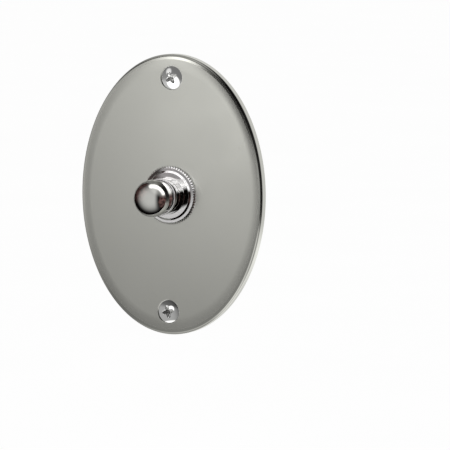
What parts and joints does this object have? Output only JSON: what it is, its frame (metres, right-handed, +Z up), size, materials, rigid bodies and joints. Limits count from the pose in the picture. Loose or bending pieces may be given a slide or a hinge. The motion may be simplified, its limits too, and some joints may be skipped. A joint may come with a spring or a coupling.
{
  "type": "bell push",
  "caption": "Oval polished doorbell push with a knurled collar, a domed button that springs back, countersunk fixing screws and screw terminals behind.",
  "frame": {"origin": "middle of the plate in the wall plane, halfway between the fixing screws", "axes": "+X to the right across the plate, +Y into the wall, +Z up the plate"},
  "size_m": [0.06, 0.0408, 0.084],
  "materials": {
    "plate_chrome": "polished plate, slightly soft",
    "bright_chrome": "mirror polished",
    "spring_steel": "plain",
    "plated_steel": "zinc plated",
    "brass": "turned",
    "black_moulding": "moulded",
    "white_nylon": "moulded"
  },
  "bodies": {
    "base": {"face_plate": "plate_chrome", "collar": "bright_chrome", "lock_washer": "spring_steel", "lock_nut": "brass", "contact_block": "black_moulding", "clamp_ring": "brass", "left_contact": "brass", "right_contact": "brass", "terminal_washers": "plated_steel", "terminal_screws": "plated_steel", "fixing_screws": "bright_chrome", "return_spring": "spring_steel"},
    "button": {"push_button": "bright_chrome", "retaining_clip": "spring_steel", "insulating_bush": "white_nylon", "bridge_contact": "brass", "insulating_washer": "white_nylon", "stem_nut": "brass"}
  },
  "joints": [
    {"name": "button_press", "type": "slide", "parent": "base", "child": "button", "axis": [0, 1, 0], "range_m": [0, 0.0024], "stiffness_N_per_m": 600, "springref_m": -0.003, "deforming": ["return_spring"]}
  ]
}
